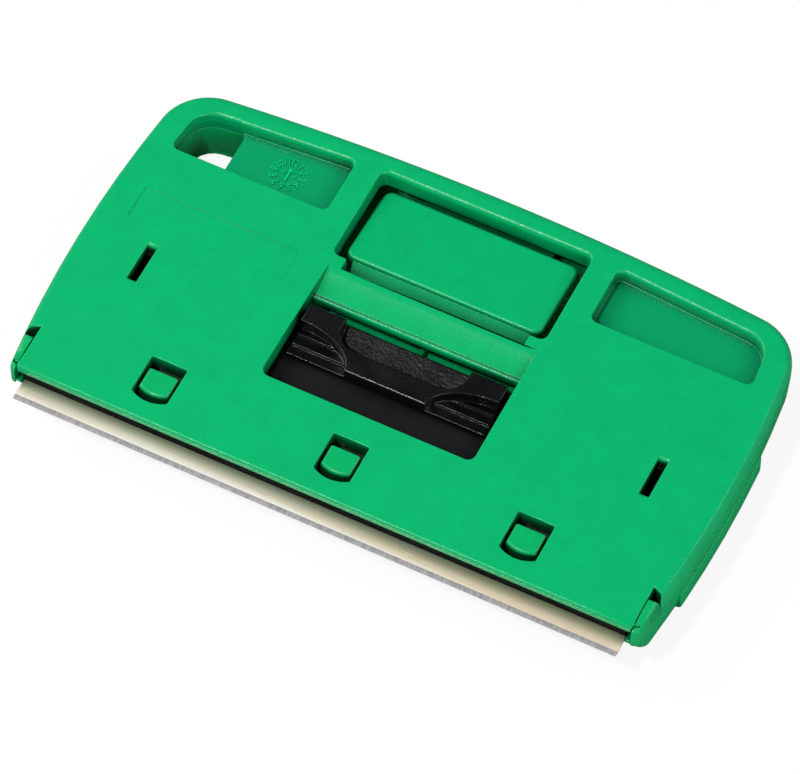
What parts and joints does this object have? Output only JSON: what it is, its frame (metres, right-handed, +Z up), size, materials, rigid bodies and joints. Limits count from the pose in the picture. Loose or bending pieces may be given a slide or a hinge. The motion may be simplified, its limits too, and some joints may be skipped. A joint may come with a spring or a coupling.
{
  "type": "razor blade scraper",
  "caption": "Flat pocket scraper: hinged two-shell housing that holds a wide razor blade, with a sliding blade guard, a thumb slide, a release button and a hang hole.",
  "frame": {"origin": "middle of the base's flat underside", "axes": "+X to the right along the blade, -Y towards the blade's edge, +Z up out of the lid"},
  "size_m": [0.1092, 0.0638, 0.0106],
  "materials": {
    "base_green": "moulded, satin, fine grain on the grips",
    "lid_green": "moulded, satin",
    "blade_steel": "rolled, with ground bevels",
    "guard_black": "matte, fine grain",
    "slide_black": "satin, leather grain",
    "pad_green": "moulded, satin",
    "tongue_green": "moulded, satin"
  },
  "bodies": {
    "base": {"base_shell": "base_green", "blade": "blade_steel"},
    "lid": {"lid_shell": "lid_green"},
    "button": {"release_pad": "pad_green", "latch_tongue": "tongue_green"},
    "guard": {"guard_plate": "guard_black", "thumb_slide": "slide_black"}
  },
  "joints": [
    {"name": "lid_open", "type": "hinge", "parent": "base", "child": "lid", "pos_m": [0, -0.0292, 0.0095], "axis": [1, 0, 0], "range_deg": [0, 75]},
    {"name": "guard_slide", "type": "slide", "parent": "base", "child": "guard", "axis": [0, -1, 0], "range_m": [0, 0.0052]},
    {"name": "button_press", "type": "hinge", "parent": "lid", "child": "button", "pos_m": [0, 0.0092, 0.008], "axis": [1, 0, 0], "range_deg": [-5.5, 0], "stiffness_Nm_per_rad": 0.3, "deforming": ["latch_tongue"]}
  ]
}
